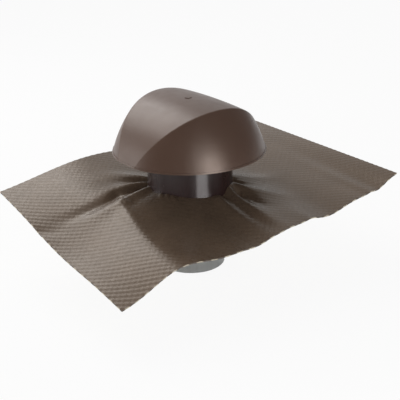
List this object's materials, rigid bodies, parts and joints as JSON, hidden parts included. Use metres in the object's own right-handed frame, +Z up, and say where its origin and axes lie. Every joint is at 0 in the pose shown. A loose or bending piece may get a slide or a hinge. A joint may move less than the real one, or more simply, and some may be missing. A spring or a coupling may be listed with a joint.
{
  "type": "vent pipe wind cap",
  "caption": "Roof vent outlet: a creased dome hood on an insulated vent pipe, with a soft embossed flashing sheet draped round its collar.",
  "frame": {"origin": "on the pipe's axis, at the pipe's lower end", "axes": "+Z up along the pipe, +X along the flashing's long side, -Y towards the flashing's front edge"},
  "size_m": [0.602, 0.442, 0.3268],
  "materials": {
    "hood_plastic": "satin moulded brown plastic",
    "collar_plastic": "glossy dark brown plastic pipe",
    "pipe_plastic": "plain grey duct pipe",
    "foam": "rigid cream insulation foam, cut face",
    "flashing_sheet": "semi-gloss embossed brown flashing sheet"
  },
  "bodies": {
    "root": {"hood": "hood_plastic", "collar": "collar_plastic", "inner_pipe": "pipe_plastic", "insulation_sleeve": "foam", "flashing": "flashing_sheet"}
  },
  "joints": []
}
